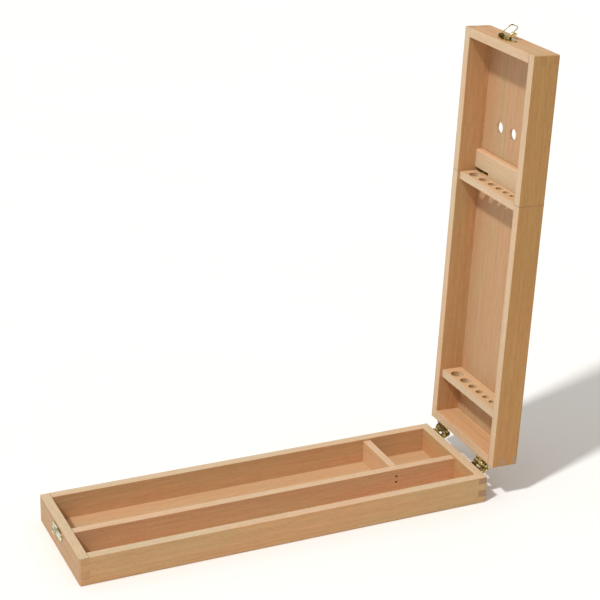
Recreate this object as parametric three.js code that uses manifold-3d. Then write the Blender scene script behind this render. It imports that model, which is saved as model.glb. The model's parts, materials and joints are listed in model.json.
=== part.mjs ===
// A long beech brush box, standing open.
// The base is a tray with dividers. The lid carries two brush racks and is hinged at one short end.
// The lid's top part is a cap, hinged at the back of the upper rack, so that it folds away
// and long brushes drop through both racks.
//
// Millimetres. X runs along the box from the catch end to the hinge end, Y across it, Z up.
// The origin is the centre of the underside. Every piece is drawn where it lies in the shut box,
// and the lid's group then turns about the hinge line to stand open.

import * as THREE from "three";
import { mergeVertices } from "three/addons/utils/BufferGeometryUtils.js";
import Module from "manifold-3d";

const wasm = await Module();
wasm.setup();

// ---- Driving dimensions ----

const LENGTH = 400;
const WIDTH = 124;
const HALF_HEIGHT = 27; // height of the base, and of the lid
const WALL = 9;
const PANEL = 2.5; // plywood of the floor and of the lid's back
const REBATE = 4; // how far a panel's edge is let into a wall
const GLUE = 0.1; // gap at a glued joint
const RIM_GAP = 0.3; // between base and lid when shut
const FINGERS = 4; // fingers over a wall's height
const OPEN_ANGLE = 92; // degrees, where the hinges' stops hold the lid

const DIVIDER_TOP = 25;
const LONG_DIVIDER = { y0: -13, y1: -5 };
const CROSS_DIVIDER = { x0: 124.3, x1: 131.7 };
const NAIL = {
  radius: 0.7, headRadius: 1.1, headDepth: 0.6, taper: 0.2, sunk: 0.1, point: 1, length: 20,
  heights: [11.5, 17.6],
};

const SEAM_X = -61; // where the cap parts from the rest of the lid
const SEAM_GAP = 0.3;
const RACK_THICKNESS = 7.4;
const LOWER_RACK_X = 146; // catch-side face of the lower rack
const RACK_SETBACK = 3; // of a rack's front below the lid's rim
const BRUSH_HOLES = [13, 11, 9, 8, 7, 6]; // diameters, from the far side to the near side
const BRUSH_HOLE_EDGE = 45; // Y of the first hole's outer edge
const BRUSH_HOLE_SPACE = 4.8; // wood between two holes
const BRUSH_HOLE_SETBACK = 12; // of the holes' centre line below the rim

const HINGE_BLOCK = { height: 21, front: 18.7, nose: 2.2 };
const AIR_HOLE = { radius: 5.5, spacing: 24, x: -110.5 };

// reach and lift set the main hinge line: out from the end faces and up from the rims.
const MAIN_HINGE = {
  centreY: 39.2, length: 20, reach: 6, lift: 1.8, barrel: 2.9, leaf: 1.6, leafHeight: 15,
  neckClearance: 0.3, neckDepth: 3.4, pin: 1.2, bore: 1.32, screwHeight: 9.6, screwSpread: 6.4,
};
const CAP_HINGE = {
  centreY: 39.5, length: 22, barrel: 1.9, leaf: 1.1, leafEdge: 20.2, edgeGap: 0.25, offset: 0.3,
  pin: 0.8, bore: 0.92, screwDepth: 22.4, screwSpread: 6, notchSpare: 0.4,
};
const KNUCKLE_GAP = 0.1; // kept by each knuckle of a hinge from the next
const PIN_SPARE = 0.5; // length of a hinge pin beyond its knuckles, at each end
const HINGE_SCREW = { head: 1.9, headDepth: 1.1, shank: 0.95, length: 7.5, dome: 0.25 };
const CATCH_SCREW = { head: 2.1, headDepth: 1.0, shank: 0.95, length: 7.5, dome: 0.5 };
const SCREW_CLEARANCE = 0.08;
const OVERCUT = 1; // how far a cutting shape runs past the wood

const CATCH_Y = 3.5; // the catch sits a little off the middle
const PLATE = { halfLength: 14.5, lobe: 4.2, screw: 10.3, thickness: 0.8 };
const STRIKE = { centreZ: 19.8, halfHeight: 4.8 };
const CATCH = {
  centre: 10.3, bodyHalfWidth: 6.1, bodyHalfHeight: 6.2,
  ear: 0.8, earHeight: 4.4, earMargin: 2.2, earChamfer: 1.2,
  leverOut: 3.1, leverUp: 9.7, leverHub: 1.5, leverWidth: 8.8, leverTip: 18.7,
  pin: 0.65, pinSpare: 0.3, pinBore: 0.75, boreReach: 10,
  bailOut: 2.5, bailUp: 6.7,
};
const LEVER = { curl: 3.4, swell: 0.3, waist: 2.6, neck: 1, flick: 2.6, metal: 0.9 };
const BAIL = { wire: 0.6, reach: 14.6, halfWidth: 7.1, restAngle: 49, corner: 2.2 };
const HOOK = { halfWidth: 3.2, room: 0.3, metal: 1, lip: 0.5, rise: 1.4 };
const BITE = 0.4; // how far a piece of metal runs into the plate that it is one with

const COLOURS = { beech: 0xd6ad7f, light: 0xe3c29a, ply: 0xcb9f72, brass: 0xd8b25a, steel: 0x8f8a80 };

const TO_CATCH_END = [-1, 0, 0];
const TO_HINGE_END = [1, 0, 0];

// ---- Worked-out sizes ----

const endX = LENGTH / 2;
const innerX = endX - WALL;
const outerY = WIDTH / 2;
const innerY = outerY - WALL;
const lidZ = HALF_HEIGHT + RIM_GAP; // the lid's rim in the shut box
const lidTop = lidZ + HALF_HEIGHT;
const lidPanelZ = lidTop - PANEL;
const fingerHeight = HALF_HEIGHT / FINGERS;
const rimZ = HALF_HEIGHT + RIM_GAP / 2; // halfway between the two rims
const hingeLine = { x: endX + MAIN_HINGE.reach, z: rimZ + MAIN_HINGE.lift };
const upperRackX = SEAM_X + SEAM_GAP / 2;
const capX = SEAM_X - SEAM_GAP / 2;
const capHingeLine = {
  x: upperRackX - GLUE - CAP_HINGE.barrel,
  z: lidTop + CAP_HINGE.offset + CAP_HINGE.barrel,
};
const notchX = capHingeLine.x - CAP_HINGE.barrel - GLUE;

// ---- Materials ----

function material(colour, roughness, metalness) {
  return new THREE.MeshStandardMaterial({ color: colour, roughness, metalness });
}

const beech = material(COLOURS.beech, 0.62, 0);
const lightBeech = material(COLOURS.light, 0.6, 0);
const plywood = material(COLOURS.ply, 0.66, 0);
const brass = material(COLOURS.brass, 0.28, 1);
const steel = material(COLOURS.steel, 0.45, 1);

// ---- Solids ----

// A closed three.js geometry as a solid that can be joined and cut.
function solid(geometry) {
  const bare = geometry.index ? geometry.toNonIndexed() : geometry;
  bare.deleteAttribute("normal");
  bare.deleteAttribute("uv");
  const merged = mergeVertices(bare, 1e-4);
  return new wasm.Manifold(new wasm.Mesh({
    numProp: 3,
    vertProperties: merged.attributes.position.array,
    triVerts: new Uint32Array(merged.index.array),
  }));
}

function mesh(name, body, surface) {
  const { vertProperties, triVerts } = body.getMesh();
  const geometry = new THREE.BufferGeometry();
  geometry.setAttribute("position", new THREE.BufferAttribute(vertProperties, 3));
  geometry.setIndex(new THREE.BufferAttribute(triVerts, 1));
  geometry.computeVertexNormals();
  const made = new THREE.Mesh(geometry, surface);
  made.name = name;
  return made;
}

function box([x0, x1], [y0, y1], [z0, z1]) {
  const geometry = new THREE.BoxGeometry(x1 - x0, y1 - y0, z1 - z0);
  geometry.translate((x0 + x1) / 2, (y0 + y1) / 2, (z0 + z1) / 2);
  return solid(geometry);
}

// An outline drawn in X and Z, drawn out across the box from y0 to y1.
function acrossBox(shape, y0, y1, curveSegments = 8) {
  const options = { depth: y1 - y0, bevelEnabled: false, curveSegments };
  const geometry = new THREE.ExtrudeGeometry(shape, options);
  geometry.rotateX(Math.PI / 2);
  geometry.translate(0, y1, 0);
  return solid(geometry);
}

// An outline drawn in Y and Z, standing out of a catch-end face by its thickness.
function onCatchEnd(shape, thickness) {
  const options = { depth: thickness, bevelEnabled: false, curveSegments: 8 };
  const geometry = new THREE.ExtrudeGeometry(shape, options);
  geometry.rotateX(Math.PI / 2);
  geometry.rotateZ(Math.PI / 2);
  geometry.translate(-endX - thickness, 0, 0);
  return solid(geometry);
}

function cylinder(radius, from, to, segments = 24) {
  const start = new THREE.Vector3(...from);
  const along = new THREE.Vector3(...to).sub(start);
  const geometry = new THREE.CylinderGeometry(radius, radius, along.length(), segments);
  geometry.translate(0, along.length() / 2, 0);
  geometry.applyQuaternion(turnFromY(along));
  geometry.translate(...from);
  return solid(geometry);
}

function turnFromY(direction) {
  const up = new THREE.Vector3(0, 1, 0);
  return new THREE.Quaternion().setFromUnitVectors(up, direction.clone().normalize());
}

// A profile of radius and height, turned about its axis, then set at a point facing a direction.
function turned(profile, place, facing, segments = 10) {
  const points = profile.map(([radius, height]) => new THREE.Vector2(radius, height));
  const geometry = new THREE.LatheGeometry(points, segments);
  geometry.applyQuaternion(turnFromY(new THREE.Vector3(...facing)));
  geometry.translate(...place);
  return solid(geometry);
}

function polygon(points) {
  return new THREE.Shape(points.map(([x, z]) => new THREE.Vector2(x, z)));
}

function cutAll(body, cutters) {
  return cutters.reduce((left, cutter) => left.subtract(cutter), body);
}

function addAll(bodies) {
  return bodies.reduce((sum, body) => sum.add(body));
}

// ---- Screws and nails ----

function screwProfile(size, extra) {
  const head = size.head + extra;
  const shank = size.shank + extra;
  return [
    [0, -size.length - extra],
    [shank, -size.length * 0.8],
    [shank, -size.headDepth],
    [head, 0],
    [0, size.dome + extra],
  ];
}

function screwHoles(size, places, facing) {
  return places.map((place) => turned(screwProfile(size, SCREW_CLEARANCE), place, facing));
}

function screws(name, size, places, facing) {
  return places.map((place, i) =>
    mesh(`${name}_${i + 1}`, turned(screwProfile(size, 0), place, facing), brass));
}

// A nail up to the height of its head's top, or the hole for one.
function nail(extra, top, z) {
  const profile = [
    [0, -NAIL.length - extra],
    [NAIL.radius + extra, -NAIL.length + NAIL.point],
    [NAIL.radius + extra, -NAIL.headDepth - NAIL.taper],
    [NAIL.headRadius + extra, -NAIL.headDepth - extra],
    [NAIL.headRadius + extra, top],
    [0, top],
  ];
  const x = (CROSS_DIVIDER.x0 + CROSS_DIVIDER.x1) / 2;
  return turned(profile, [x, LONG_DIVIDER.y0, z], [0, -1, 0]);
}

// ---- Box walls with finger joints ----

// The gaps in a wall for its neighbour's fingers. Fingers are counted upwards from the wall's
// lower edge: the long walls own the even ones and the end walls the odd ones.
function fingerGaps(z0, xRange, yRange, parity) {
  const gaps = [];
  for (let i = parity; i < FINGERS; i += 2) {
    const low = i === 0 ? OVERCUT : GLUE;
    const high = i === FINGERS - 1 ? OVERCUT : GLUE;
    const from = z0 + i * fingerHeight;
    gaps.push(box(xRange, yRange, [from - low, from + fingerHeight + high]));
  }
  return gaps;
}

// A long wall from x0 to x1 on the side given by sign, jointed at each end that reaches a corner.
function longWall(sign, [x0, x1], z0, panelSpace) {
  const across = sign > 0 ? [innerY, outerY] : [-outerY, -innerY];
  const wide = [across[0] - OVERCUT, across[1] + OVERCUT];
  const cuts = [panelSpace];
  if (x0 === -endX) cuts.push(...fingerGaps(z0, [-endX - OVERCUT, -innerX + GLUE], wide, 1));
  if (x1 === endX) cuts.push(...fingerGaps(z0, [innerX - GLUE, endX + OVERCUT], wide, 1));
  return cutAll(box([x0, x1], across, [z0, z0 + HALF_HEIGHT]), cuts);
}

// A short end wall, which owns the odd fingers.
function endWall(sign, z0, panelSpace) {
  const along = sign > 0 ? [innerX, endX] : [-endX, -innerX];
  const wide = [along[0] - OVERCUT, along[1] + OVERCUT];
  const cuts = [
    panelSpace,
    ...fingerGaps(z0, wide, [innerY - GLUE, outerY + OVERCUT], 0),
    ...fingerGaps(z0, wide, [-outerY - OVERCUT, -innerY + GLUE], 0),
  ];
  return cutAll(box(along, [-outerY, outerY], [z0, z0 + HALF_HEIGHT]), cuts);
}

// A panel let into the walls' rebates. With grow it is the space that the walls leave for it.
function panel([x0, x1], [z0, z1], grow = 0) {
  const left = x0 === -endX ? -innerX - REBATE : x0;
  const right = x1 === endX ? innerX + REBATE : x1;
  const halfWidth = innerY + REBATE + grow;
  return box([left - grow, right + grow], [-halfWidth, halfWidth], [z0, z1]);
}

// ---- Base ----

function baseTray() {
  const whole = [-endX, endX];
  const space = panel(whole, [-OVERCUT, PANEL + GLUE], GLUE);
  const strike = screwHoles(CATCH_SCREW, strikeScrews(), TO_CATCH_END);
  const hinge = screwHoles(HINGE_SCREW, mainHingeScrews(-1), TO_HINGE_END);
  return [
    mesh("base_far_wall", longWall(1, whole, 0, space), beech),
    mesh("base_near_wall", longWall(-1, whole, 0, space), beech),
    mesh("base_catch_end_wall", cutAll(endWall(-1, 0, space), strike), beech),
    mesh("base_hinge_end_wall", cutAll(endWall(1, 0, space), hinge), beech),
    mesh("base_floor_panel", panel(whole, [0, PANEL]), plywood),
  ];
}

function dividers() {
  const floor = PANEL + GLUE;
  const height = [floor, DIVIDER_TOP];
  const behind = [LONG_DIVIDER.y1 + GLUE, innerY - GLUE];
  const long = box([-innerX + GLUE, innerX - GLUE], [LONG_DIVIDER.y0, LONG_DIVIDER.y1], height);
  const cross = box([CROSS_DIVIDER.x0, CROSS_DIVIDER.x1], behind, height);
  const holes = NAIL.heights.map((z) => nail(SCREW_CLEARANCE, OVERCUT, z));
  return [
    mesh("long_divider", cutAll(long, holes), lightBeech),
    mesh("cross_divider", cutAll(cross, holes), lightBeech),
    ...NAIL.heights.map((z, i) => mesh(`divider_nail_${i + 1}`, nail(0, -NAIL.sunk, z), steel)),
  ];
}

// ---- Lid ----

function brushHoles(x0, x1) {
  const z = lidZ + BRUSH_HOLE_SETBACK;
  let edge = BRUSH_HOLE_EDGE;
  return BRUSH_HOLES.map((diameter) => {
    const y = edge - diameter / 2;
    edge -= diameter + BRUSH_HOLE_SPACE;
    return cylinder(diameter / 2, [x0 - OVERCUT, y, z], [x1 + OVERCUT, y, z]);
  });
}

function rack(x0) {
  const x1 = x0 + RACK_THICKNESS;
  const plank = box(
    [x0, x1], [-innerY + GLUE, innerY - GLUE], [lidZ + RACK_SETBACK, lidPanelZ - GLUE]);
  return cutAll(plank, brushHoles(x0, x1));
}

function lidSection() {
  const along = [upperRackX, endX];
  const space = panel(along, [lidPanelZ - GLUE, lidTop + OVERCUT], GLUE);
  const hinge = screwHoles(HINGE_SCREW, mainHingeScrews(1), TO_HINGE_END);
  const capHinge = screwHoles(HINGE_SCREW, capHingeScrews(1), TO_CATCH_END);
  return [
    mesh("lid_far_wall", longWall(1, along, lidZ, space), beech),
    mesh("lid_near_wall", longWall(-1, along, lidZ, space), beech),
    mesh("lid_hinge_end_wall", cutAll(endWall(1, lidZ, space), hinge), beech),
    mesh("lid_back_panel", panel(along, [lidPanelZ, lidTop]), plywood),
    mesh("upper_brush_rack", cutAll(rack(upperRackX), capHinge), lightBeech),
    mesh("lower_brush_rack", rack(LOWER_RACK_X), lightBeech),
  ];
}

// ---- Cap ----

function hingeNotch(sign, [y0, y1], [z0, z1]) {
  const across = sign > 0 ? [y0, y1] : [-y1, -y0];
  return box([notchX, capX + OVERCUT], across, [z0, z1]);
}

// The block's front top edge is rounded over.
function hingeBlock() {
  const top = capX - HINGE_BLOCK.height;
  const front = lidZ + HINGE_BLOCK.front;
  const back = lidPanelZ - GLUE;
  const nose = HINGE_BLOCK.nose;
  const outline = new THREE.Shape();
  outline.moveTo(capX, front);
  outline.lineTo(capX, back);
  outline.lineTo(top, back);
  outline.lineTo(top, front + nose);
  outline.absarc(top + nose, front + nose, nose, Math.PI, Math.PI * 1.5, false);
  outline.lineTo(capX, front);
  const body = acrossBox(outline, -innerY + GLUE, innerY - GLUE, 5);
  const inner = CAP_HINGE.centreY - CAP_HINGE.length / 2 - OVERCUT;
  const notches = [1, -1].map((sign) => hingeNotch(sign, [inner, outerY], [lidZ, lidTop]));
  const holes = screwHoles(HINGE_SCREW, capHingeScrews(-1), TO_HINGE_END);
  return cutAll(body, [...notches, ...holes]);
}

function capPanel() {
  const z = [lidPanelZ - OVERCUT, lidTop + OVERCUT];
  const half = CAP_HINGE.length / 2 + CAP_HINGE.notchSpare;
  const cuts = [-1, 0, 1].map((i) => {
    const y = i * AIR_HOLE.spacing;
    return cylinder(AIR_HOLE.radius, [AIR_HOLE.x, y, z[0]], [AIR_HOLE.x, y, z[1]]);
  });
  const notch = [CAP_HINGE.centreY - half, CAP_HINGE.centreY + half];
  cuts.push(hingeNotch(1, notch, z), hingeNotch(-1, notch, z));
  return cutAll(panel([-endX, capX], [lidPanelZ, lidTop]), cuts);
}

function cap() {
  const along = [-endX, capX];
  const space = panel(along, [lidPanelZ - GLUE, lidTop + OVERCUT], GLUE);
  const holes = screwHoles(CATCH_SCREW, catchScrews(), TO_CATCH_END);
  return [
    mesh("cap_far_wall", longWall(1, along, lidZ, space), beech),
    mesh("cap_near_wall", longWall(-1, along, lidZ, space), beech),
    mesh("cap_end_wall", cutAll(endWall(-1, lidZ, space), holes), beech),
    mesh("cap_back_panel", capPanel(), plywood),
    mesh("cap_hinge_block", hingeBlock(), lightBeech),
  ];
}

// ---- Hinges ----

// Three knuckles along a hinge: the middle one belongs to one leaf and the outer two to the other.
function knuckleSpans(hinge, centreY, middle) {
  const half = hinge.length / 2;
  const inner = hinge.length / 6 - KNUCKLE_GAP;
  const outer = hinge.length / 6 + KNUCKLE_GAP;
  const spans = middle ? [[-inner, inner]] : [[-half, -outer], [outer, half]];
  return spans.map(([from, to]) => [centreY + from, centreY + to]);
}

function knuckles(hinge, line, spans) {
  const [x, z] = [line.x, line.z];
  return spans.map(([y0, y1]) => cylinder(hinge.barrel, [x, y0, z], [x, y1, z], 20));
}

// A rod along a hinge line, reaching the same way to both sides of its middle.
function rod(radius, line, centreY, reach, segments) {
  const from = [line.x, centreY - reach, line.z];
  const to = [line.x, centreY + reach, line.z];
  return cylinder(radius, from, to, segments);
}

function bore(hinge, line, centreY) {
  return rod(hinge.bore, line, centreY, hinge.length, 12);
}

function hingePin(hinge, line, centreY) {
  return rod(hinge.pin, line, centreY, hinge.length / 2 + PIN_SPARE, 12);
}

function mainHingeScrews(side) {
  const places = [];
  for (const y of [MAIN_HINGE.centreY, -MAIN_HINGE.centreY]) {
    for (const spread of [MAIN_HINGE.screwSpread, -MAIN_HINGE.screwSpread]) {
      const z = rimZ + side * MAIN_HINGE.screwHeight;
      places.push([endX + MAIN_HINGE.leaf, y + spread, z]);
    }
  }
  return places;
}

// One leaf of a main hinge, on the outside of an end wall: side is -1 on the base and 1 on the lid.
// A neck runs from the leaf's edge to each of its knuckles.
function mainLeaf(centreY, side) {
  const inner = endX + GLUE;
  const outer = endX + MAIN_HINGE.leaf;
  const near = rimZ + side * (RIM_GAP / 2 + GLUE);
  const far = rimZ + side * MAIN_HINGE.leafHeight;
  const half = MAIN_HINGE.length / 2;
  const height = [near, far].sort((a, b) => a - b);
  const plate = box([inner, outer], [centreY - half, centreY + half], height);
  const tangent = hingeLine.z + side * MAIN_HINGE.barrel;
  const root = (side > 0 ? tangent : near) + side * MAIN_HINGE.neckDepth;
  const neck = polygon([
    [inner, near],
    [outer + MAIN_HINGE.neckClearance, near],
    [hingeLine.x, hingeLine.z],
    [hingeLine.x, tangent],
    [outer, root],
    [inner, root],
  ]);
  const spans = knuckleSpans(MAIN_HINGE, centreY, side > 0);
  const necks = spans.map(([y0, y1]) => acrossBox(neck, y0, y1));
  const body = addAll([plate, ...necks, ...knuckles(MAIN_HINGE, hingeLine, spans)]);
  const holes = screwHoles(HINGE_SCREW, mainHingeScrews(side), TO_HINGE_END);
  return cutAll(body, [bore(MAIN_HINGE, hingeLine, centreY), ...holes]);
}

// The places of a cap hinge's screws: side is 1 on the rack and -1 on the block.
function capHingeScrews(side) {
  const x = capHingeLine.x + side * (CAP_HINGE.barrel - CAP_HINGE.leaf);
  const places = [];
  for (const y of [CAP_HINGE.centreY, -CAP_HINGE.centreY]) {
    for (const spread of [CAP_HINGE.screwSpread, -CAP_HINGE.screwSpread]) {
      places.push([x, y + spread, lidZ + CAP_HINGE.screwDepth]);
    }
  }
  return places;
}

// One leaf of a cap hinge: side is 1 for the leaf on the rack and -1 for the leaf in the block.
function capLeaf(centreY, side) {
  const face = capHingeLine.x + side * CAP_HINGE.barrel;
  const back = face - side * CAP_HINGE.leaf;
  const along = [face, back].sort((a, b) => a - b);
  const half = CAP_HINGE.length / 2;
  const edge = lidZ + CAP_HINGE.leafEdge;
  const clear = capHingeLine.z - CAP_HINGE.barrel - CAP_HINGE.edgeGap;
  const plate = box(along, [centreY - half, centreY + half], [edge, clear]);
  const spans = knuckleSpans(CAP_HINGE, centreY, side < 0);
  const necks = spans.map((span) => box(along, span, [edge, capHingeLine.z]));
  const body = addAll([plate, ...necks, ...knuckles(CAP_HINGE, capHingeLine, spans)]);
  const facing = side > 0 ? TO_CATCH_END : TO_HINGE_END;
  const holes = screwHoles(HINGE_SCREW, capHingeScrews(side), facing);
  return cutAll(body, [bore(CAP_HINGE, capHingeLine, centreY), ...holes]);
}

const hingeSides = [["far", 1], ["near", -1]];

function baseHingeParts() {
  const parts = [];
  for (const [side, sign] of hingeSides) {
    const y = sign * MAIN_HINGE.centreY;
    parts.push(mesh(`${side}_hinge_base_leaf`, mainLeaf(y, -1), brass));
    parts.push(mesh(`${side}_hinge_pin`, hingePin(MAIN_HINGE, hingeLine, y), brass));
  }
  return [...parts, ...screws("base_hinge_screw", HINGE_SCREW, mainHingeScrews(-1), TO_HINGE_END)];
}

function lidHingeParts() {
  const parts = [];
  for (const [side, sign] of hingeSides) {
    const y = sign * CAP_HINGE.centreY;
    parts.push(mesh(`${side}_hinge_lid_leaf`, mainLeaf(sign * MAIN_HINGE.centreY, 1), brass));
    parts.push(mesh(`${side}_cap_hinge_rack_leaf`, capLeaf(y, 1), brass));
    parts.push(mesh(`${side}_cap_hinge_pin`, hingePin(CAP_HINGE, capHingeLine, y), brass));
  }
  return [
    ...parts,
    ...screws("lid_hinge_screw", HINGE_SCREW, mainHingeScrews(1), TO_HINGE_END),
    ...screws("rack_hinge_screw", HINGE_SCREW, capHingeScrews(1), TO_CATCH_END),
  ];
}

function capHingeParts() {
  const leaves = hingeSides.map(([side, sign]) =>
    mesh(`${side}_cap_hinge_block_leaf`, capLeaf(sign * CAP_HINGE.centreY, -1), brass));
  return [...leaves, ...screws("block_hinge_screw", HINGE_SCREW, capHingeScrews(-1), TO_HINGE_END)];
}

// ---- Catch ----

// A plate with a round lobe at each end for its screws, and a body in the middle.
function catchPlate(centreZ, halfHeight) {
  const arm = PLATE.halfLength - PLATE.lobe;
  const half = CATCH.bodyHalfWidth;
  const outline = new THREE.Shape();
  outline.moveTo(CATCH_Y - half, centreZ - halfHeight);
  outline.lineTo(CATCH_Y + half, centreZ - halfHeight);
  outline.lineTo(CATCH_Y + arm, centreZ - PLATE.lobe);
  outline.absarc(CATCH_Y + arm, centreZ, PLATE.lobe, -Math.PI / 2, Math.PI / 2, false);
  outline.lineTo(CATCH_Y + half, centreZ + halfHeight);
  outline.lineTo(CATCH_Y - half, centreZ + halfHeight);
  outline.lineTo(CATCH_Y - arm, centreZ + PLATE.lobe);
  outline.absarc(CATCH_Y - arm, centreZ, PLATE.lobe, Math.PI / 2, Math.PI * 1.5, false);
  return onCatchEnd(outline, PLATE.thickness).translate(-GLUE, 0, 0);
}

function screwPair(z) {
  return [1, -1].map((sign) => [-endX - PLATE.thickness, CATCH_Y + sign * PLATE.screw, z]);
}

function strikeScrews() {
  return screwPair(STRIKE.centreZ);
}

function catchScrews() {
  return screwPair(lidZ + CATCH.centre);
}

// The strike's hook opens downwards, so that the bail pulls up into it.
function strikeHook() {
  const face = -endX - BITE;
  const room = BAIL.wire + HOOK.room;
  const barZ = lidZ + CATCH.bailUp - BAIL.reach;
  const inside = -endX - CATCH.bailOut - room;
  const outside = inside - HOOK.metal;
  const outline = polygon([
    [face, barZ + room],
    [inside, barZ + room],
    [inside, barZ - room],
    [(inside + outside) / 2, barZ - room - HOOK.lip],
    [outside, barZ - room],
    [outside, barZ + room + HOOK.lip],
    [inside, barZ + room + HOOK.rise],
    [face, barZ + room + HOOK.rise],
  ]);
  return acrossBox(outline, CATCH_Y - HOOK.halfWidth, CATCH_Y + HOOK.halfWidth);
}

function strikeParts() {
  const plate = catchPlate(STRIKE.centreZ, STRIKE.halfHeight);
  const holes = screwHoles(CATCH_SCREW, strikeScrews(), TO_CATCH_END);
  return [
    mesh("strike_plate", cutAll(plate.add(strikeHook()), holes), brass),
    ...screws("strike_screw", CATCH_SCREW, strikeScrews(), TO_CATCH_END),
  ];
}

const leverLine = { x: -endX - CATCH.leverOut, z: lidZ + CATCH.leverUp };
const bailLine = { x: -endX - CATCH.bailOut, z: lidZ + CATCH.bailUp };

// Two ears stand up from the catch's plate and hold the lever's pin and the bail's ends.
function catchEar(sign) {
  const outer = CATCH_Y + sign * CATCH.bodyHalfWidth;
  const inner = outer - sign * CATCH.ear;
  const face = -endX - BITE;
  const out = -endX - CATCH.earHeight;
  const low = bailLine.z - CATCH.earMargin;
  const high = leverLine.z + CATCH.earMargin;
  const outline = polygon([
    [face, low],
    [out + CATCH.earChamfer, low],
    [out, low + CATCH.earChamfer],
    [out, high - CATCH.earChamfer],
    [out + CATCH.earChamfer, high],
    [face, high],
  ]);
  return acrossBox(outline, Math.min(outer, inner), Math.max(outer, inner));
}

function catchBody() {
  const plate = catchPlate(lidZ + CATCH.centre, CATCH.bodyHalfHeight);
  const holes = [
    rod(CATCH.pinBore, leverLine, CATCH_Y, CATCH.boreReach, 10),
    rod(CATCH.pinBore, bailLine, CATCH_Y, CATCH.boreReach, 10),
    ...screwHoles(CATCH_SCREW, catchScrews(), TO_CATCH_END),
  ];
  return cutAll(addAll([plate, catchEar(1), catchEar(-1)]), holes);
}

// The lever is a bent tongue on a hub, with its tip curled up for a finger.
// Its outline is drawn about the pin, out from the box and up towards the tip.
function catchLever() {
  const tip = CATCH.leverTip - CATCH.leverUp;
  const hub = CATCH.leverHub;
  const corner = hub * Math.SQRT1_2;
  const bend = tip - LEVER.curl;
  const outline = polygon([
    [0, -hub],
    [-corner, -corner],
    [-hub, 0],
    [-hub - LEVER.swell, LEVER.waist],
    [-LEVER.neck, bend],
    [-LEVER.neck - LEVER.swell, tip - LEVER.curl / 2],
    [-LEVER.flick, tip - LEVER.metal / 2],
    [-LEVER.flick + LEVER.metal / 2, tip],
    [-LEVER.neck + LEVER.swell, tip - LEVER.metal],
    [-LEVER.neck + LEVER.metal, bend],
    [LEVER.swell, LEVER.waist + LEVER.metal],
    [hub, 0],
    [corner, -corner],
  ].map(([out, up]) => [leverLine.x + out, leverLine.z + up]));
  const half = CATCH.leverWidth / 2;
  const hole = rod(CATCH.pinBore, leverLine, CATCH_Y, CATCH.boreReach, 10);
  return acrossBox(outline, CATCH_Y - half, CATCH_Y + half).subtract(hole);
}

// Round wire through a list of points, with a ball at each bend.
function wire(points, radius) {
  const pieces = [];
  for (let i = 1; i < points.length; i += 1) {
    pieces.push(cylinder(radius, points[i - 1], points[i], 8));
    if (i + 1 < points.length) {
      const ball = new THREE.SphereGeometry(radius, 8, 6);
      ball.translate(...points[i]);
      pieces.push(solid(ball));
    }
  }
  return addAll(pieces);
}

// The bail hangs in the ears by its inturned ends. It is drawn standing straight out of the end face.
function bail() {
  const earInner = CATCH.bodyHalfWidth - CATCH.ear;
  const cut = BAIL.corner * (1 - Math.SQRT1_2);
  const half = [
    [0, earInner, 0],
    [0, BAIL.halfWidth, 0],
    [-BAIL.reach + BAIL.corner, BAIL.halfWidth, 0],
    [-BAIL.reach + cut, BAIL.halfWidth - cut, 0],
    [-BAIL.reach, BAIL.halfWidth - BAIL.corner, 0],
  ];
  const mirrored = half.map(([x, y, z]) => [x, -y, z]).reverse();
  return wire([...half, ...mirrored], BAIL.wire);
}

function bailGroup() {
  const group = new THREE.Group();
  group.position.set(bailLine.x, CATCH_Y, bailLine.z);
  group.rotation.y = THREE.MathUtils.degToRad(BAIL.restAngle);
  group.add(mesh("catch_bail", bail(), brass));
  return group;
}

function catchParts() {
  const pin = rod(CATCH.pin, leverLine, CATCH_Y, CATCH.bodyHalfWidth + CATCH.pinSpare, 10);
  return [
    mesh("catch_plate", catchBody(), brass),
    mesh("catch_lever", catchLever(), brass),
    mesh("catch_lever_pin", pin, brass),
    bailGroup(),
    ...screws("catch_screw", CATCH_SCREW, catchScrews(), TO_CATCH_END),
  ];
}

// ---- Assembly ----

// A group turned about a line across the box. Its contents keep their shut-box places.
function turnedGroup(line, degrees, parts) {
  const turningGroup = new THREE.Group();
  const contents = new THREE.Group();
  turningGroup.position.set(line.x, 0, line.z);
  turningGroup.rotation.y = THREE.MathUtils.degToRad(degrees);
  contents.position.set(-line.x, 0, -line.z);
  contents.add(...parts);
  turningGroup.add(contents);
  return turningGroup;
}

const brushBox = new THREE.Group();
brushBox.add(...baseTray(), ...dividers(), ...strikeParts(), ...baseHingeParts());
brushBox.add(turnedGroup(hingeLine, OPEN_ANGLE, [
  ...lidSection(), ...cap(), ...lidHingeParts(), ...capHingeParts(), ...catchParts(),
]));

export default brushBox;
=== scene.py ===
"""The looks of a long beech brush box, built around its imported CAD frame.

Metres. The CAD pieces lie where they are at rest: the base flat and the lid standing open. Wood is
thought of in the shut box, where every plank is square to the axes, so the lid's pieces are turned
back about the hinge line whenever their edges or their grain are worked out.
"""
import json
import math
import random

import bmesh
import bpy
from mathutils import Matrix, Vector


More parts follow.
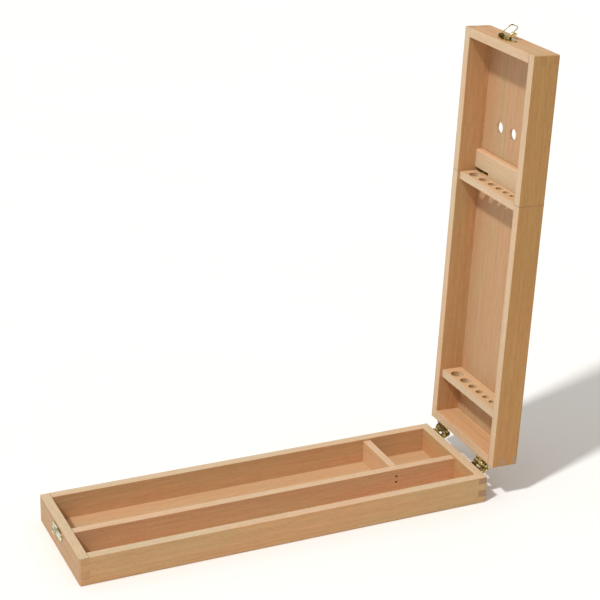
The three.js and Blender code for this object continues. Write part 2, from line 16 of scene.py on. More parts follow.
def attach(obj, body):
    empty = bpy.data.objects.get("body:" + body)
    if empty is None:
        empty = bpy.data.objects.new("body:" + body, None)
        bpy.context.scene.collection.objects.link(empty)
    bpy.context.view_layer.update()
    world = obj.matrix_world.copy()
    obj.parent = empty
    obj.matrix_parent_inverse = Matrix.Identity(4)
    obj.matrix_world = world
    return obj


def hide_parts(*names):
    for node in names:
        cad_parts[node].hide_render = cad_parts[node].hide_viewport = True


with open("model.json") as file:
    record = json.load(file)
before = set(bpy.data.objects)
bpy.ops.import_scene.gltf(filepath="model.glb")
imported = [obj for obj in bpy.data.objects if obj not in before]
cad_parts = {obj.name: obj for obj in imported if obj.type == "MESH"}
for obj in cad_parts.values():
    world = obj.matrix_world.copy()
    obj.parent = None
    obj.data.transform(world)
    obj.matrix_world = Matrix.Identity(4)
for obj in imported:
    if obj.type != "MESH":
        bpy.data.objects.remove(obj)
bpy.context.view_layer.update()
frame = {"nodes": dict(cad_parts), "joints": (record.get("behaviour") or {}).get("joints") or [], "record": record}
nodes = frame["nodes"]
bodies = frame["record"]["behaviour"]["bodies"]
joints = {joint["name"]: joint for joint in frame["joints"]}
slots = {part["node"]: part["material_slot"] for part in frame["record"]["subparts"]}
body_of = {node: body for body, members in bodies.items() for node in members}

# ---- Driving values ----

MM = 0.001
OUTER_EASE = 1.6 * MM  # rounding of the box's outer edges
RIM_EASE = 0.45 * MM  # rounding of the rims and the dividers' tops
HOLE_EASE = 0.3 * MM
SEAM_EASE = 0.12 * MM
METAL_EASE = 0.16 * MM
SAME = 0.05 * MM  # two places closer than this are the same plane
WELD = 0.002 * MM  # two corners closer than this are the same corner
SHARP = math.radians(28)
FLAT = math.radians(0.5)  # faces that meet flatter than this are one face

CAMERA = {
    "place": (-0.5449, -1.2789, 0.7743), "azimuth": -26.43, "elevation": 20.61, "roll": 2.13,
    "lens": 100.5, "sensor": 36.0, "shift": (-0.106, -0.0623),
}
KEY = {
    "azimuth": -68, "elevation": 55, "softness": 4.5,
    "strength": 2.15, "colour": (1.0, 0.99, 0.975),
}
SKY = {"front": (0.09, 0.085, 0.08), "back": (0.50, 0.49, 0.47), "above": (0.62, 0.60, 0.57)}
FLOOR = {
    "size": 14.0, "drop": 0.05 * MM,  # drop keeps it just clear of the box's underside
    "tints": ((0.93, 0.93, 0.925), (0.95, 0.95, 0.945)),
}

# cad_dome is how far a CAD screw's head rises above its seat. The finer head rises a little less.
HINGE_SCREW = {"head": 1.88 * MM, "dome": 0.24 * MM, "cad_dome": 0.25 * MM, "length": 7.3 * MM}
CATCH_SCREW = {"head": 2.08 * MM, "dome": 0.48 * MM, "cad_dome": 0.5 * MM, "length": 7.3 * MM}
SCREWS = {"hinge": HINGE_SCREW, "catch": CATCH_SCREW, "strike": CATCH_SCREW}
SCREW_RIM = 0.12 * MM  # thickness of a head at its edge
SCREW_PITCH = 0.7 * MM

BAIL = {
    "wire": 0.6 * MM,  # radius
    "corner": 3.2 * MM,  # radius of the bends at the loop's end
    "foot": 1.6 * MM,  # how far each end turns in to its ear
}

# Wood tones: pale wood between the growth rings, darker wood, and the end grain at the box's catch
# end, where the joints hardly show, and at its hinge end.
TONES = {
    "beech": {
        "pale": (0.640, 0.390, 0.195), "dark": (0.510, 0.285, 0.125),
        "catch_end": (0.480, 0.300, 0.160), "hinge_end": (0.400, 0.236, 0.128),
    },
    "pale_beech": {
        "pale": (0.710, 0.445, 0.250), "dark": (0.570, 0.330, 0.160),
        "catch_end": (0.480, 0.300, 0.160), "hinge_end": (0.440, 0.262, 0.140),
    },
    "golden_beech": {
        "pale": (0.540, 0.295, 0.105), "dark": (0.420, 0.210, 0.068),
        "catch_end": (0.560, 0.360, 0.190), "hinge_end": (0.310, 0.178, 0.090),
    },
    "end_beech": {
        "pale": (0.520, 0.325, 0.175), "dark": (0.420, 0.245, 0.118),
        "catch_end": (0.560, 0.325, 0.152), "hinge_end": (0.400, 0.236, 0.128),
    },
    "cap_beech": {
        "pale": (0.640, 0.410, 0.230), "dark": (0.520, 0.310, 0.150),
        "catch_end": (0.440, 0.235, 0.085), "hinge_end": (0.400, 0.236, 0.128),
    },
    "light_beech": {
        "pale": (0.720, 0.495, 0.305), "dark": (0.600, 0.385, 0.210),
        "catch_end": (0.480, 0.310, 0.180), "hinge_end": (0.480, 0.310, 0.180),
    },
    "red_beech": {
        "pale": (0.770, 0.500, 0.300), "dark": (0.630, 0.375, 0.205),
        "catch_end": (0.420, 0.250, 0.145), "hinge_end": (0.420, 0.250, 0.145),
    },
    "plywood": {
        "pale": (0.590, 0.385, 0.222), "dark": (0.460, 0.280, 0.152),
        "catch_end": (0.400, 0.250, 0.150), "hinge_end": (0.400, 0.250, 0.150),
    },
    "floor_ply": {
        "pale": (0.640, 0.430, 0.250), "dark": (0.500, 0.310, 0.165),
        "catch_end": (0.400, 0.250, 0.150), "hinge_end": (0.400, 0.250, 0.150),
    },
}
PLY_TONES = ("plywood", "floor_ply")
# Colour for faces level in the shut box: paler from the plane, and paler and less orange again as painted light,
# the neutral look of lit tops against warmer shaded sides.
PLANED_AND_LIT_TOP = {"pale": (0.700, 0.525, 0.360), "dark": (0.600, 0.425, 0.270)}  # rims and narrow tops
CLOUDS = {"rosy": (1.04, 0.95, 0.90), "golden": (0.97, 1.02, 0.99)}  # slow changes over a plank

# Metal: bright colours, dark colours for tarnished patches that also paint dark reflections (on the nails, painted
# shade), how much of it is dark, and the least roughness.
METAL_FINISHES = {
    "hinge": {
        "name": "hinge_brass", "tarnish_painted_dark_share": 0.62, "roughness": 0.12,
        "bright": (0.74, 0.58, 0.25), "dull": (0.17, 0.125, 0.035),
    },
    "catch": {
        "name": "catch_brass", "tarnish_painted_dark_share": 0.30, "roughness": 0.10,
        "bright": (0.84, 0.70, 0.38), "dull": (0.12, 0.095, 0.03),
    },
    "strike": {
        "name": "strike_brass", "tarnish_painted_dark_share": 0.42, "roughness": 0.28,
        "bright": (0.72, 0.71, 0.54), "dull": (0.22, 0.21, 0.07),
    },
    # Nail heads near black brown: painted shade of the recessed heads in their holes.
    "nail": {
        "name": "nail_steel_painted_shade", "tarnish_painted_dark_share": 0.6, "roughness": 0.45,
        "bright": (0.16, 0.085, 0.05), "dull": (0.05, 0.025, 0.015),
    },
}

# ---- The shut box ----

hinge = joints["lid_hinge"]
hinge_line = Vector(hinge["pos_m"])
open_angle = math.radians(-hinge["range_deg"][0])
SHUT = (
    Matrix.Translation(hinge_line)
    @ Matrix.Rotation(-open_angle, 4, "Y")
    @ Matrix.Translation(-hinge_line)
)
ON_BASE = Matrix.Identity(4)


def shut_matrix(node):
    """Takes a point at rest to its place in the shut box."""
    return ON_BASE if body_of[node] == "base" else SHUT


def shut_box(members):
    """Lowest and highest corners of some nodes in the shut box."""
    points = [shut_matrix(node) @ v.co for node in members for v in nodes[node].data.vertices]
    low = Vector([min(p[i] for p in points) for i in range(3)])
    high = Vector([max(p[i] for p in points) for i in range(3)])
    return low, high


WALL_TONES = {
    "base_near_wall": "beech",
    "base_far_wall": "pale_beech",
    "base_hinge_end_wall": "beech",
    "base_catch_end_wall": "end_beech",
    "lid_near_wall": "golden_beech",
    "lid_far_wall": "beech",
    "lid_hinge_end_wall": "pale_beech",
    "cap_near_wall": "golden_beech",
    "cap_far_wall": "beech",
    "cap_end_wall": "cap_beech",
}
WALLS = list(WALL_TONES)
base_shell = shut_box([node for node in WALLS if body_of[node] == "base"])
lid_shell = shut_box([node for node in WALLS if body_of[node] != "base"])
seam_planes = (shut_box(["cap_near_wall"])[1].x, shut_box(["lid_near_wall"])[0].x)


# ---- Node helpers ----

class Nodes:
    """A short way to write a material's node tree."""

    def __init__(self, material):
        self.material = material
        self.tree = material.node_tree
        self.tree.nodes.clear()

    def add(self, kind, **settings):
        made = self.tree.nodes.new(kind)
        for name, value in settings.items():
            setattr(made, name, value)
        return made

    def link(self, source, target):
        self.tree.links.new(source, target)

    def feed(self, socket, value):
        if isinstance(value, bpy.types.NodeSocket):
            self.link(value, socket)
        else:
            socket.default_value = value

    def math(self, operation, a, b=0.0, clamp=False):
        made = self.add("ShaderNodeMath", operation=operation, use_clamp=clamp)
        self.feed(made.inputs[0], a)
        self.feed(made.inputs[1], b)
        return made.outputs[0]

    def mix(self, factor, a, b, blend="MIX"):
        made = self.add("ShaderNodeMix", data_type="RGBA", blend_type=blend)
        self.feed(made.inputs[0], factor)
        self.feed(made.inputs[6], a)
        self.feed(made.inputs[7], b)
        return made.outputs[2]

    def mapping(self, vector, location=(0, 0, 0), rotation=(0, 0, 0), scale=(1, 1, 1)):
        made = self.add("ShaderNodeMapping")
        self.link(vector, made.inputs["Vector"])
        made.inputs["Location"].default_value = location
        made.inputs["Rotation"].default_value = rotation
        made.inputs["Scale"].default_value = scale
        return made.outputs[0]

    def noise(self, vector, scale, detail=3.0, roughness=0.55, distortion=0.0):
        made = self.add("ShaderNodeTexNoise")
        self.link(vector, made.inputs["Vector"])
        made.inputs["Scale"].default_value = scale
        made.inputs["Detail"].default_value = detail
        made.inputs["Roughness"].default_value = roughness
        made.inputs["Distortion"].default_value = distortion
        return made.outputs[0]

    def ramp(self, value, low, high, start=0.0, end=1.0):
        made = self.add("ShaderNodeMapRange", interpolation_type="SMOOTHSTEP")
        self.link(value, made.inputs["Value"])
        made.inputs["From Min"].default_value = low
        made.inputs["From Max"].default_value = high
        made.inputs["To Min"].default_value = start
        made.inputs["To Max"].default_value = end
        return made.outputs[0]

    def edges(self, radius, low, high):
        """1 along sharp edges and 0 on flat faces."""
        bevel = self.add("ShaderNodeBevel", samples=4)
        bevel.inputs["Radius"].default_value = radius
        flat = self.add("ShaderNodeNewGeometry")
        dot = self.add("ShaderNodeVectorMath", operation="DOT_PRODUCT")
        self.link(bevel.outputs[0], dot.inputs[0])
        self.link(flat.outputs["Normal"], dot.inputs[1])
        return self.ramp(self.math("SUBTRACT", 1.0, dot.outputs["Value"]), low, high)

    def alignment(self, vector, direction):
        """1 where a vector lies along a direction, either way, and 0 across it."""
        dot = self.add("ShaderNodeVectorMath", operation="DOT_PRODUCT")
        self.link(vector, dot.inputs[0])
        dot.inputs[1].default_value = direction
        return self.math("ABSOLUTE", dot.outputs["Value"])

    def bump(self, height, strength, distance):
        made = self.add("ShaderNodeBump")
        made.inputs["Strength"].default_value = strength
        made.inputs["Distance"].default_value = distance
        self.link(height, made.inputs["Height"])
        return made.outputs[0]

    def surface(self, **inputs):
        shader = self.add("ShaderNodeBsdfPrincipled")
        for name, value in inputs.items():
            self.feed(shader.inputs[name.replace("_", " ")], value)
        output = self.add("ShaderNodeOutputMaterial")
        self.link(shader.outputs[0], output.inputs["Surface"])
        return shader


def new_material(name):
    material = bpy.data.materials.new(name)
    material.use_nodes = True
    return material


def colour(rgb):
    return (*rgb, 1.0)


# ---- Wood ----

def box_space(n, vector, node):
    """Coordinates in the shut box."""
    if body_of[node] == "base":
        return vector
    return n.mapping(vector, location=SHUT.to_translation(), rotation=(0, -open_angle, 0))


def wood_space(n, vector, grain_axis, offset):
    """Coordinates in a plank: its grain runs along X, and the log's heart lies off to one side."""
    if grain_axis == "Y":
        vector = n.mapping(vector, rotation=(0, 0, -math.pi / 2))
    return n.mapping(vector, location=offset)


def growth_rings(n, plank, scale):
    """The log's rings, wavy along the plank: from 0 in pale wood to 1 in dark."""
    sway = n.noise(n.mapping(plank, scale=(5, 14, 14)), 1.0, 2.0)
    swayed = n.add("ShaderNodeVectorMath", operation="MULTIPLY_ADD")
    n.link(sway, swayed.inputs[0])
    swayed.inputs[1].default_value = (0.0, 0.03, 0.03)
    n.link(plank, swayed.inputs[2])
    rings = n.add("ShaderNodeTexWave", wave_type="RINGS", rings_direction="X", wave_profile="SAW")
    n.link(swayed.outputs[0], rings.inputs["Vector"])
    rings.inputs["Scale"].default_value = scale
    rings.inputs["Distortion"].default_value = 1.6
    rings.inputs["Detail"].default_value = 2.0
    return n.ramp(rings.outputs["Fac"], 0.25, 1.0)


def grain(n, plank):
    """Patterns stretched along the grain: streaks, fine streaks, short rays, pores and clouds."""
    return {
        "streaks": n.noise(n.mapping(plank, scale=(9, 330, 330)), 1.0, 5.0, 0.6),
        "fine": n.noise(n.mapping(plank, scale=(60, 1500, 1500)), 1.0, 3.0, 0.65),
        "rays": n.ramp(n.noise(n.mapping(plank, scale=(150, 1150, 1150)), 1.0, 1.0), 0.56, 0.70),
        "pores": n.ramp(n.noise(n.mapping(plank, scale=(420, 3000, 3000)), 1.0, 1.0), 0.60, 0.72),
        "clouds": n.ramp(n.noise(n.mapping(plank, scale=(7, 30, 30)), 1.0, 3.0), 0.32, 0.68),
    }


def long_grain(n, tone, rings, marks, narrow):
    """The colour of a plank's sides. Its narrow faces, as far as narrow says, are paler from the plane, and paler
    and less orange again as painted light on the lit tops.
    """
    pale, dark = TONES[tone]["pale"], TONES[tone]["dark"]
    depth = n.math("MULTIPLY", rings, 0.16)
    depth = n.math("ADD", depth, n.ramp(marks["streaks"], 0.30, 0.72, 0.0, 0.38))
    depth = n.math("ADD", depth, n.ramp(marks["fine"], 0.35, 0.68, 0.0, 0.44), clamp=True)
    face = n.mix(depth, colour(pale), colour(dark))
    if tone not in PLY_TONES:
        # Level faces: paler from the plane, plus painted light that makes the lit tops neutral and pale.
        planed_and_lit_top = n.mix(depth, colour(PLANED_AND_LIT_TOP["pale"]), colour(PLANED_AND_LIT_TOP["dark"]))
        face = n.mix(narrow, face, planed_and_lit_top)
    clouds = n.mix(marks["clouds"], colour(CLOUDS["rosy"]), colour(CLOUDS["golden"]))
    face = n.mix(1.0, face, clouds, "MULTIPLY")
    face = n.mix(n.math("MULTIPLY", marks["rays"], 0.22), face, colour([c * 0.72 for c in dark]))
    return n.mix(n.math("MULTIPLY", marks["pores"], 0.30), face, colour([c * 0.55 for c in dark]))


def end_grain(n, tone, rings, marks, shut):
    """The colour of a plank's ends, which show the rings and pores end on."""
    tones = TONES[tone]
    along = n.add("ShaderNodeSeparateXYZ")
    n.link(shut, along.inputs[0])
    at_hinge_end = n.ramp(along.outputs["X"], -0.15, 0.15)
    face = n.mix(at_hinge_end, colour(tones["catch_end"]), colour(tones["hinge_end"]))
    depth = n.math("MULTIPLY", n.math("ADD", rings, marks["pores"]), 0.12, clamp=True)
    return n.mix(depth, face, colour([c * 0.6 for c in tones["dark"]]))


def wood(node, tone, grain_axis, seed):
    """Beech for one plank: rings round the log's heart, streaks, pores and end grain."""
    draw = random.Random(seed)
    n = Nodes(new_material(f"{node}_{tone}"))
    coordinates = n.add("ShaderNodeTexCoord")
    offset = (draw.uniform(-2, 2), draw.uniform(0.05, 0.09), draw.uniform(0.07, 0.16))
    shut = box_space(n, coordinates.outputs["Object"], node)
    plank = wood_space(n, shut, grain_axis, offset)
    rings = growth_rings(n, plank, draw.uniform(58, 82))
    marks = grain(n, plank)

    turned_back = shut_matrix(node).to_3x3().inverted()
    normal = coordinates.outputs["Normal"]
    upright = Vector((0, 0, 1))
    axis = Vector((1, 0, 0)) if grain_axis == "X" else Vector((0, 1, 0))
    narrow = n.ramp(n.alignment(normal, turned_back @ upright), 0.6, 0.95)
    end_on = n.ramp(n.alignment(normal, turned_back @ axis), 0.55, 0.9)
    sides = long_grain(n, tone, rings, marks, narrow)
    finish = n.mix(end_on, sides, end_grain(n, tone, rings, marks, shut))

    # Handled edges are rubbed a little paler
    worn = n.math("MULTIPLY", n.edges(0.9 * MM, 0.02, 0.30), 0.26)
    finish = n.mix(worn, finish, colour([min(1.0, c * 1.22) for c in TONES[tone]["pale"]]))
    gloss = n.ramp(marks["streaks"], 0.3, 0.7, 0.50, 0.62)
    gloss = n.math("ADD", gloss, n.math("MULTIPLY", end_on, 0.14))
    relief = n.math("MULTIPLY", marks["streaks"], 0.5)
    relief = n.math("SUBTRACT", relief, n.math("MULTIPLY", marks["pores"], 0.6))
    relief = n.math("ADD", relief, n.math("MULTIPLY", marks["fine"], 0.35))
    n.surface(
        Base_Color=finish,
        Roughness=gloss,
        Specular_IOR_Level=0.32,
        Normal=n.bump(relief, 0.35, 0.12 * MM),
    )
    return n.material


# ---- Metal ----

def metal(name, bright, dull, tarnish_painted_dark_share, roughness):
    """Sheet metal: dark in cloudy patches, tarnished and painted dark reflection, and bright along its edges, worn
    by rubbing and painted highlight.
    """
    n = Nodes(new_material(name))
    place = n.add("ShaderNodeTexCoord").outputs["Object"]
    cloud = n.noise(n.mapping(place, scale=(330, 90, 330)), 1.0, 2.0, 0.5)
    scratches = n.noise(n.mapping(place, scale=(300, 5200, 900)), 1.0, 2.0)
    spread = 0.35 * tarnish_painted_dark_share
    # Cloudy dark patches: tarnished brass, made dark to paint dark reflections; on the nails, painted shade.
    tarnish_painted_dark_mask = n.ramp(cloud, 0.62 - spread, 0.76 - spread)
    tint = n.mix(tarnish_painted_dark_mask, colour(bright), colour(dull))
    # Brighter edges: worn by rubbing, and a painted highlight for the bright strips along the leaves.
    wear_painted_highlight = n.math("MULTIPLY", n.edges(0.25 * MM, 0.02, 0.3), 0.8)
    tint = n.mix(wear_painted_highlight, tint, colour([min(1.0, c * 1.15) for c in bright]))
    gloss = n.ramp(cloud, 0.3, 0.8, roughness, roughness + 0.16)
    gloss = n.math("ADD", gloss, n.ramp(scratches, 0.35, 0.7, 0.0, 0.08))
    n.surface(
        Base_Color=tint,
        Metallic=1.0,
        Roughness=gloss,
        Normal=n.bump(scratches, 0.12, 0.03 * MM),
    )
    return n.material


METALS = {word: metal(**finish) for word, finish in METAL_FINISHES.items()}


def metal_of(node):
    return next(material for word, material in METALS.items() if word in node)


# ---- Pieces ----

def place_piece(piece, node, material):
    """The piece stands for a CAD node: it moves with its body, gets the given material if it has none, and the CAD
    node is hidden.
    """
    if not piece.data.materials:
        piece.data.materials.append(material)
    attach(piece, body_of[node])
    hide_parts(node)


def shell_planes(node):
    """The outer planes of the half that a node belongs to, as axis and value."""
    low, high = base_shell if body_of[node] == "base" else lid_shell
    return [(axis, side[axis]) for axis in range(3) for side in (low, high)]


def on_plane(a, b, axis, value):
    return abs(a[axis] - value) < SAME and abs(b[axis] - value) < SAME


def wall_ease(node):
    """How far each edge of a wall is rounded: outer edges most, glued joints not at all."""
    planes = shell_planes(node)
    rim = (2, base_shell[1].z if body_of[node] == "base" else lid_shell[0].z)
    low, high = shut_box([node])
    size = high - low
    run = 0 if size.x > size.y else 1  # the axis along the wall

    def ease(a, b):
        shared = [plane for plane in planes if on_plane(a, b, *plane)]
        if len(shared) >= 2:
            return RIM_EASE if rim in shared else OUTER_EASE
        if shared and any(on_plane(a, b, 0, seam) for seam in seam_planes):
            return SEAM_EASE
        along = (b - a).normalized()
        if rim in shared and abs(along[run]) > 0.99:
            return RIM_EASE
        return 0.0

    return ease


def even_ease(width):
    return lambda a, b: width


def top_ease(node):
    """Rounds the edges of a divider's top."""
    top = shut_box([node])[1].z
    return lambda a, b: RIM_EASE if on_plane(a, b, 2, top) else 0.0


def rack_ease(node):
    """Rounds a rack's long edges and softens its holes."""
    half_width = shut_box([node])[1].y

    def ease(a, b):
        across = abs((b - a).normalized().y) > 0.99
        at_wall = abs(abs(a.y) - half_width) < SAME and abs(abs(b.y) - half_width) < SAME
        if at_wall:
            return 0.0
        return RIM_EASE if across else HOLE_EASE

    return ease


def weigh_edges(work, to_shut, ease):
    """Marks each sharp edge with its rounding as a share of the widest, and returns the widest."""
    weights = work.edges.layers.float.new("bevel_weight_edge")
    widths = {}
    for edge in work.edges:
        if len(edge.link_faces) == 2 and edge.calc_face_angle(0.0) > SHARP:
            a, b = (to_shut @ v.co for v in edge.verts)
            widths[edge] = ease(a, b)
    widest = max(widths.values(), default=0.0)
    for edge, width in widths.items():
        edge[weights] = width / widest if widest else 0.0
    return widest


def eased_copy(node, ease, segments=3):
    """A finer copy of a CAD piece: clean faces, and each edge rounded as ease says."""
    mesh = nodes[node].data.copy()
    mesh.materials.clear()
    mesh.name = f"{node}_eased"
    piece = bpy.data.objects.new(f"{node}_eased", mesh)
    bpy.context.scene.collection.objects.link(piece)
    work = bmesh.new()
    work.from_mesh(mesh)
    bmesh.ops.remove_doubles(work, verts=work.verts, dist=WELD)
    bmesh.ops.dissolve_limit(work, angle_limit=FLAT, verts=work.verts, edges=work.edges)
    widest = weigh_edges(work, shut_matrix(node), ease)
    for face in work.faces:
        face.smooth = True
    work.to_mesh(mesh)
    work.free()
    if widest:
        bevel = piece.modifiers.new("ease", "BEVEL")
        bevel.limit_method = "WEIGHT"
        bevel.width = widest
        bevel.segments = segments
        bevel.use_clamp_overlap = True
    mesh.set_sharp_from_angle(angle=SHARP)
    normals = piece.modifiers.new("flat_faces", "WEIGHTED_NORMAL")
    normals.keep_sharp = True
    return piece


# ---- Wooden pieces ----

def wooden_pieces():
    """Every plank with its ease rule, tone and grain direction."""
    planks = {
        node: (wall_ease(node), WALL_TONES[node], "Y" if "end" in node else "X")
        for node in WALLS
    }
    planks["base_floor_panel"] = (even_ease(0.0), "floor_ply", "X")
    planks["lid_back_panel"] = (even_ease(0.0), "plywood", "X")
    planks["cap_back_panel"] = (even_ease(0.0), "plywood", "X")
    planks["long_divider"] = (top_ease("long_divider"), "red_beech", "X")
    planks["cross_divider"] = (top_ease("cross_divider"), "light_beech", "Y")
    for node in ("upper_brush_rack", "lower_brush_rack"):
        planks[node] = (rack_ease(node), "light_beech", "Y")
    planks["cap_hinge_block"] = (even_ease(RIM_EASE), "light_beech", "Y")
    for seed, (node, (ease, tone, grain_axis)) in enumerate(sorted(planks.items())):
        piece = eased_copy(node, ease)
        place_piece(piece, node, wood(node, tone, grain_axis, seed + 11))


# ---- Screws ----

def turned_mesh(name, profile, segments):
    """A profile of radius and height turned about Z. Its ends lie on the axis."""
    work = bmesh.new()
    turns = [2 * math.pi * i / segments for i in range(segments)]
    rings = []
    for radius, height in profile:
        if radius == 0:
            places = [(0, 0, height)]
        else:
            places = [(radius * math.cos(t), radius * math.sin(t), height) for t in turns]
        rings.append([work.verts.new(place) for place in places])
    for lower, upper in zip(rings, rings[1:]):
        for i in range(segments):
            j = (i + 1) % segments
            corners = [lower[i % len(lower)], lower[j % len(lower)]]
            corners += [upper[j % len(upper)], upper[i % len(upper)]]
            work.faces.new(list(dict.fromkeys(corners)))  # a triangle where the profile ends
    for face in work.faces:
        face.smooth = True
    bmesh.ops.recalc_face_normals(work, faces=work.faces)
    mesh = bpy.data.meshes.new(name)
    work.to_mesh(mesh)
    work.free()
    return mesh


def cross_cutter(radius, width, top, bottom):
    """Two crossing wedges that narrow downwards: the shape of a cross recess."""
    work = bmesh.new()
    for turn in (0, math.pi / 2):
        made = bmesh.ops.create_cube(work, size=1)["verts"]
        for vert in made:
            along, across, height = (1.0, 1.0, top) if vert.co.z > 0 else (0.35, 0.7, bottom)
            vert.co = (vert.co.x * 2 * radius * along, vert.co.y * width * across, height)
        bmesh.ops.rotate(work, verts=made, cent=(0, 0, 0), matrix=Matrix.Rotation(turn, 3, "Z"))
    mesh = bpy.data.meshes.new("cross_cutter")
    work.to_mesh(mesh)
    work.free()
    return mesh


def cut_mesh(mesh, cutter_mesh):
    """A mesh with another cut out of it."""
    body = bpy.data.objects.new("cut_body", mesh)
    cutter = bpy.data.objects.new("cutter", cutter_mesh)
    for thing in (body, cutter):
        bpy.context.scene.collection.objects.link(thing)
    boolean = body.modifiers.new("cut", "BOOLEAN")
    boolean.operation = "DIFFERENCE"
    boolean.solver = "EXACT"
    boolean.use_self = True
    boolean.object = cutter
    bpy.context.view_layer.update()
    evaluated = body.evaluated_get(bpy.context.evaluated_depsgraph_get())
    made = bpy.data.meshes.new_from_object(evaluated)
    for thing in (body, cutter):
        bpy.data.objects.remove(thing)
    return made


def screw_mesh(name, head, dome, length):
    """A countersunk screw with a low domed head, a cross recess and a threaded shank."""
    shank = head * 0.5
    root = shank * 0.82  # radius between the thread's turns
    shank_top = -head * 0.55
    profile = [(0, dome), (head * 0.45, dome * 0.86), (head * 0.8, dome * 0.45)]
    profile += [(head, 0), (head, -SCREW_RIM), (shank, shank_top)]
    for i in range(int(length * 0.7 / SCREW_PITCH)):
        start = shank_top - i * SCREW_PITCH
        profile += [(root, start - SCREW_PITCH * 0.45), (shank, start - SCREW_PITCH)]
    profile += [(0, -length)]
    cutter = cross_cutter(head * 0.62, head * 0.24, dome + SCREW_RIM, -head * 0.42)
    made = cut_mesh(turned_mesh(name, profile, 28), cutter)
    made.name = name
    made.set_sharp_from_angle(angle=SHARP)
    return made


def screws():
    """One screw for each CAD screw: its head where the CAD's is, its recess at a random turn."""
    draw = random.Random(5)
    meshes = {}
    for kind, size in SCREWS.items():
        meshes[kind] = screw_mesh(f"{kind}_screw", size["head"], size["dome"], size["length"])
        meshes[kind].materials.append(METALS[kind])
    for node in sorted(nodes):
        if "_screw_" not in node:
            continue
        kind = next(kind for kind in SCREWS if kind in node)
        to_hinge_end = node.startswith(("base", "lid", "block"))
        low, high = shut_box([node])
        cad_dome = SCREWS[kind]["cad_dome"]
        head_x = high.x - cad_dome if to_hinge_end else low.x + cad_dome
        centre = Vector((head_x, (low.y + high.y) / 2, (low.z + high.z) / 2))
        facing = math.pi / 2 if to_hinge_end else -math.pi / 2
        turn = Matrix.Rotation(facing, 4, "Y") @ Matrix.Rotation(draw.uniform(0, math.pi), 4, "Z")
        piece = bpy.data.objects.new(f"{node}_cut", meshes[kind])
        bpy.context.scene.collection.objects.link(piece)
        piece.matrix_world = shut_matrix(node).inverted() @ Matrix.Translation(centre) @ turn
        place_piece(piece, node, METALS[kind])


# ---- Metal pieces ----

def bail_outline(reach, half_width):
    """The bail's path from one end of its wire to the other, as reach outwards and place across."""
    corner = BAIL["corner"]
    end_half_width = half_width - 0.4 * MM
    side = [
        (0.0, half_width - BAIL["foot"]),
        (0.0, half_width - 0.5 * MM),
        (0.6 * MM, half_width),
        (reach * 0.5, half_width - 0.15 * MM),
    ]
    for turn in [math.pi / 2 * i / 5 for i in range(6)]:
        out = reach - corner + corner * math.sin(turn)
        across = end_half_width - corner + corner * math.cos(turn)
        side.append((out, across))
    return side + [(out, -across) for out, across in reversed(side)]


def bail_wire():
    """The bail as one bent wire, from the middle of one ear to the other."""
    node = "catch_bail"
    wire = BAIL["wire"]
    pivot = Vector(joints[node]["pos_m"])
    points = [v.co - pivot for v in nodes[node].data.vertices]
    half_width = max(p.y for p in points) - wire
    far = max(points, key=lambda p: Vector((p.x, 0, p.z)).length)
    outwards = Vector((far.x, 0, far.z)).normalized()
    reach = max(p.dot(outwards) for p in points) - wire - SAME
    outline = bail_outline(reach, half_width)
    curve = bpy.data.curves.new("catch_bail_wire", "CURVE")
    curve.dimensions = "3D"
    curve.bevel_depth = wire
    curve.bevel_resolution = 4
    curve.use_fill_caps = True
    spline = curve.splines.new("POLY")
    spline.points.add(len(outline) - 1)
    for point, (out, across) in zip(spline.points, outline):
        point.co = (*(pivot + outwards * out + Vector((0, across, 0))), 1.0)
    spline.use_smooth = True
    piece = bpy.data.objects.new("catch_bail_wire", curve)
    bpy.context.scene.collection.objects.link(piece)
    place_piece(piece, node, metal_of(node))


def metal_pieces():
    """Leaves, pins, plates, the lever and the nails, with their edges broken."""
    for node in sorted(nodes):
        if slots[node] not in ("brass", "steel") or "_screw_" in node or node == "catch_bail":
            continue
        piece = eased_copy(node, even_ease(METAL_EASE), segments=2)
        place_piece(piece, node, metal_of(node))


# ---- Stage ----

def stage():
    """A plain pale floor."""
    half = FLOOR["size"] / 2
    corners = [(-half, -half), (half, -half), (half, half), (-half, half)]
    mesh = bpy.data.meshes.new("floor")
    mesh.from_pydata([(x, y, -FLOOR["drop"]) for x, y in corners], [], [(0, 1, 2, 3)])
    floor = bpy.data.objects.new("floor", mesh)
    bpy.context.scene.collection.objects.link(floor)
    n = Nodes(new_material("pale_floor"))
    place = n.add("ShaderNodeTexCoord").outputs["Object"]
    first, second = FLOOR["tints"]
    tint = n.mix(n.noise(place, 3.0, 2.0), colour(first), colour(second))
    n.surface(Base_Color=tint, Roughness=0.8, Specular_IOR_Level=0.1)
    mesh.materials.append(n.material)


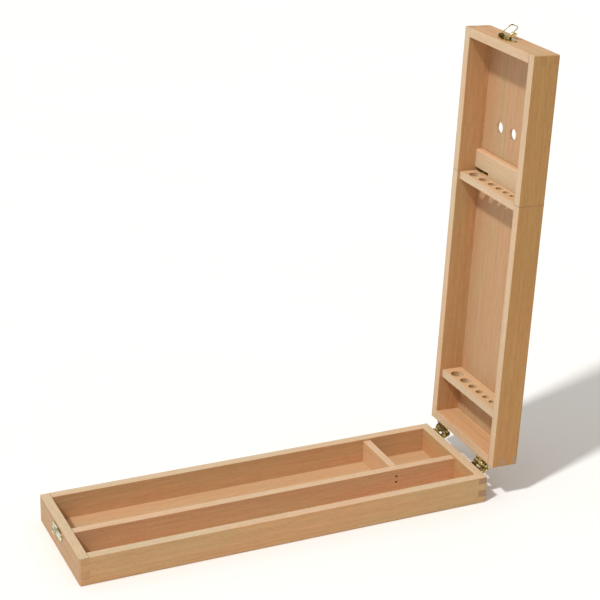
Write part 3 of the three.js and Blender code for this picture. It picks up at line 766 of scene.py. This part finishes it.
def sky():
    """A soft room: bright overhead, pale behind the box and dark behind the camera."""
    world = bpy.data.worlds.new("soft_room")
    bpy.context.scene.world = world
    world.use_nodes = True
    n = Nodes(world)
    split = n.add("ShaderNodeSeparateXYZ")
    n.link(n.add("ShaderNodeTexCoord").outputs["Generated"], split.inputs[0])
    round_about = n.ramp(split.outputs["Y"], -0.2, 0.7)
    horizon = n.mix(round_about, colour(SKY["front"]), colour(SKY["back"]))
    tint = n.mix(n.ramp(split.outputs["Z"], 0.05, 0.60), horizon, colour(SKY["above"]))
    background = n.add("ShaderNodeBackground")
    n.link(tint, background.inputs["Color"])
    n.link(background.outputs[0], n.add("ShaderNodeOutputWorld").inputs["Surface"])


def towards(azimuth, elevation):
    """The direction from the object to something seen at an azimuth and elevation in degrees."""
    a, e = math.radians(azimuth), math.radians(elevation)
    return Vector((math.sin(a) * math.cos(e), -math.cos(a) * math.cos(e), math.sin(e)))


def key_light():
    """The main light: a sun with soft shadows, from the left of the camera."""
    data = bpy.data.lights.new("key", "SUN")
    data.angle = math.radians(KEY["softness"])
    data.energy = KEY["strength"]
    data.color = KEY["colour"]
    light = bpy.data.objects.new("key", data)
    bpy.context.scene.collection.objects.link(light)
    back = towards(KEY["azimuth"], KEY["elevation"])
    light.rotation_euler = (-back).to_track_quat("-Z", "Y").to_euler()


def camera():
    """The camera at CAMERA's place, turned to its angles."""
    data = bpy.data.cameras.new("camera")
    data.sensor_width = CAMERA["sensor"]
    data.lens = CAMERA["lens"]
    data.shift_x, data.shift_y = CAMERA["shift"]
    data.clip_start = 0.05
    data.clip_end = 50
    made = bpy.data.objects.new("camera", data)
    bpy.context.scene.collection.objects.link(made)
    back = towards(CAMERA["azimuth"], CAMERA["elevation"])
    level = (-back).to_track_quat("-Z", "Y").to_matrix().to_4x4()
    roll = Matrix.Rotation(math.radians(CAMERA["roll"]), 4, "Z")
    made.matrix_world = Matrix.Translation(CAMERA["place"]) @ level @ roll
    bpy.context.scene.camera = made


wooden_pieces()
metal_pieces()
screws()
bail_wire()
stage()
sky()
key_light()
camera()
bpy.context.scene.view_settings.view_transform = "Standard"
